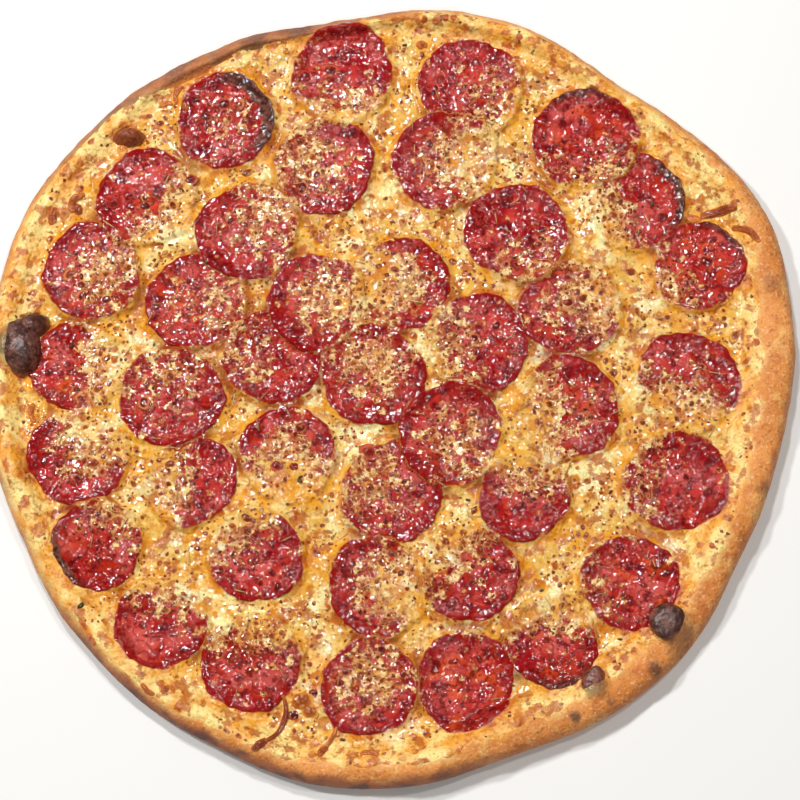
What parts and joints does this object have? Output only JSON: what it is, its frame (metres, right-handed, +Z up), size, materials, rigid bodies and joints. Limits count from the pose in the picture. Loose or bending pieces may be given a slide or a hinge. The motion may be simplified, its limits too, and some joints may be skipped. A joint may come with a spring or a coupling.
{
  "type": "pepperoni pizza",
  "caption": "round thin-crust pizza with a puffy uneven rim, melted browned cheese and draped pepperoni slices, uncut",
  "frame": {"origin": "centre of the bounding box in plan, on the plane that the flat underside rests on", "axes": "+Z up out of the topping, +Y towards the narrow side of the rim (away from the eater), +X to the right"},
  "size_m": [0.3331, 0.3288, 0.0165],
  "materials": {
    "crust": "matte, baked bread crust",
    "cheese": "glossy, melted and browned cheese",
    "pepperoni": "oily, cured red sausage"
  },
  "bodies": {
    "root": {"crust": "crust", "cheese": "cheese", "pepperoni_01": "pepperoni", "pepperoni_02": "pepperoni", "pepperoni_03": "pepperoni", "pepperoni_04": "pepperoni", "pepperoni_05": "pepperoni", "pepperoni_06": "pepperoni", "pepperoni_07": "pepperoni", "pepperoni_08": "pepperoni", "pepperoni_09": "pepperoni", "pepperoni_10": "pepperoni", "pepperoni_11": "pepperoni", "pepperoni_12": "pepperoni", "pepperoni_13": "pepperoni", "pepperoni_14": "pepperoni", "pepperoni_15": "pepperoni", "pepperoni_16": "pepperoni", "pepperoni_17": "pepperoni", "pepperoni_18": "pepperoni", "pepperoni_19": "pepperoni", "pepperoni_20": "pepperoni", "pepperoni_21": "pepperoni", "pepperoni_22": "pepperoni", "pepperoni_23": "pepperoni", "pepperoni_24": "pepperoni", "pepperoni_25": "pepperoni", "pepperoni_26": "pepperoni", "pepperoni_27": "pepperoni", "pepperoni_28": "pepperoni", "pepperoni_29": "pepperoni", "pepperoni_30": "pepperoni", "pepperoni_31": "pepperoni", "pepperoni_32": "pepperoni", "pepperoni_33": "pepperoni", "pepperoni_34": "pepperoni", "pepperoni_35": "pepperoni", "pepperoni_36": "pepperoni", "pepperoni_37": "pepperoni", "pepperoni_38": "pepperoni", "pepperoni_39": "pepperoni", "pepperoni_40": "pepperoni"}
  },
  "joints": []
}
